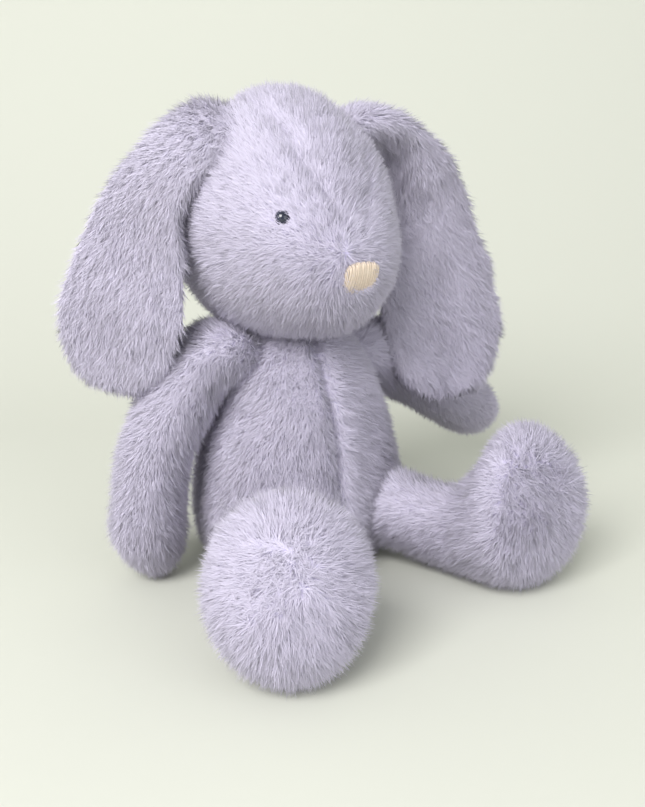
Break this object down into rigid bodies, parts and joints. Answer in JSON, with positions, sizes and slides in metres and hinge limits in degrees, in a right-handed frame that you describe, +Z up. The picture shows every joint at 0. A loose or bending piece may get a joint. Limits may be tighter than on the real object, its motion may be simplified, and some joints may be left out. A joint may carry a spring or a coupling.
{
  "type": "stuffed bunny rabbit",
  "caption": "Seated long-pile plush rabbit with lop ears, jointed by its soft seams at neck, ears, shoulders and hips.",
  "frame": {"origin": "centre of the flat seat under the body, on the surface that the bunny sits on", "axes": "+Z up, -Y the way the bunny's body faces, +X towards the bunny's left"},
  "size_m": [0.2586, 0.2091, 0.2232],
  "materials": {
    "plush": "long lavender pile, matte with a soft sheen",
    "stuffing": "loose white polyester fibre",
    "cotton": "plain woven cotton",
    "beans": "small polyethylene pellets",
    "eye": "polished",
    "washer": "moulded",
    "nose_thread": "satin stitch"
  },
  "bodies": {
    "torso": {"torso_front_left": "plush", "torso_front_right": "plush", "torso_back_left": "plush", "torso_back_right": "plush", "torso_stuffing": "stuffing", "bean_bag": "cotton", "beans": "beans", "care_label": "cotton", "tail_skin": "plush", "tail_stuffing": "stuffing"},
    "neck": {"neck_stuffing": "stuffing"},
    "head": {"head_gusset": "plush", "head_side_left": "plush", "head_side_right": "plush", "head_stuffing": "stuffing", "nose_stitching": "nose_thread", "left_eye": "eye", "right_eye": "eye", "left_eye_washer": "washer", "right_eye_washer": "washer"},
    "left_ear": {"left_ear_front": "plush", "left_ear_back": "plush"},
    "right_ear": {"right_ear_front": "plush", "right_ear_back": "plush"},
    "left_arm": {"left_arm_outer": "plush", "left_arm_inner": "plush", "left_arm_stuffing": "stuffing"},
    "right_arm": {"right_arm_outer": "plush", "right_arm_inner": "plush", "right_arm_stuffing": "stuffing"},
    "left_leg": {"left_leg_outer": "plush", "left_leg_inner": "plush", "left_leg_stuffing": "stuffing"},
    "right_leg": {"right_leg_outer": "plush", "right_leg_inner": "plush", "right_leg_stuffing": "stuffing"}
  },
  "joints": [
    {"name": "head_turn", "type": "hinge", "parent": "torso", "child": "neck", "pos_m": [-0.002, 0.003, 0.106], "axis": [0, 0, 1], "range_deg": [-45, 0]},
    {"name": "head_nod", "type": "hinge", "parent": "neck", "child": "head", "pos_m": [-0.002, 0.003, 0.106], "axis": [0.9848, 0.1736, 0], "range_deg": [-10, 5]},
    {"name": "left_ear_lift", "type": "hinge", "parent": "head", "child": "left_ear", "pos_m": [0.02803, 0.00382, 0.21494], "axis": [0.1727, -0.9794, -0.1045], "range_deg": [0, 60]},
    {"name": "right_ear_lift", "type": "hinge", "parent": "head", "child": "right_ear", "pos_m": [-0.03825, -0.01191, 0.21452], "axis": [-0.1727, 0.9794, 0.1045], "range_deg": [0, 60]},
    {"name": "left_arm_swing", "type": "hinge", "parent": "torso", "child": "left_arm", "pos_m": [0.046, 0.006, 0.103], "axis": [1, 0, 0], "range_deg": [0, 50]},
    {"name": "right_arm_swing", "type": "hinge", "parent": "torso", "child": "right_arm", "pos_m": [-0.046, 0, 0.103], "axis": [1, 0, 0], "range_deg": [-12, 75]},
    {"name": "left_leg_lift", "type": "hinge", "parent": "torso", "child": "left_leg", "pos_m": [0.029, -0.031, 0.028], "axis": [-0.8191, -0.5736, 0], "range_deg": [-20, 30]},
    {"name": "right_leg_lift", "type": "hinge", "parent": "torso", "child": "right_leg", "pos_m": [-0.029, -0.037, 0.028], "axis": [-0.9205, 0.3907, 0], "range_deg": [-20, 35]}
  ]
}
